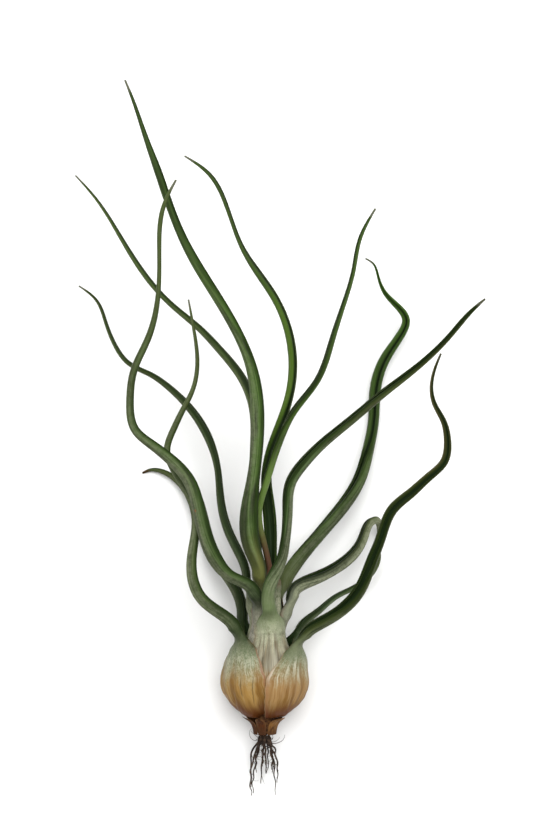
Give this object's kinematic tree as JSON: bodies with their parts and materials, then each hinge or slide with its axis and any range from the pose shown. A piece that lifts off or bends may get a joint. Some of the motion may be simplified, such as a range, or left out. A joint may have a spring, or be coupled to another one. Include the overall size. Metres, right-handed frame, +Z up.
{
  "type": "air plant with a bulb of leaf sheaths",
  "caption": "Air plant with a hollow bulb of nested sheaths, long wavy rolled leaves, dry basal scales and wiry roots, laid on its side.",
  "frame": {"origin": "middle of the small flat spot under the bulb on which the plant rests", "axes": "+Y runs from the roots to the leaf tips along the surface, +X is to the right seen from the roots, +Z is up from the surface"},
  "size_m": [0.1639, 0.2707, 0.1019],
  "materials": {
    "leaf_green": "satin",
    "stem_brown": "matte",
    "root_dark": "matte",
    "dry_scale": "matte"
  },
  "bodies": {
    "root": {"leaf_01": "leaf_green", "leaf_02": "leaf_green", "leaf_03": "leaf_green", "leaf_04": "leaf_green", "leaf_05": "leaf_green", "leaf_06": "leaf_green", "leaf_07": "leaf_green", "leaf_08": "leaf_green", "leaf_09": "leaf_green", "leaf_10": "leaf_green", "leaf_11": "leaf_green", "leaf_12": "leaf_green", "leaf_13": "leaf_green", "stem": "stem_brown", "root_tuft": "root_dark", "basal_scale_1": "dry_scale", "basal_scale_2": "dry_scale", "basal_scale_3": "dry_scale", "basal_scale_4": "dry_scale", "basal_scale_5": "dry_scale"}
  },
  "joints": []
}
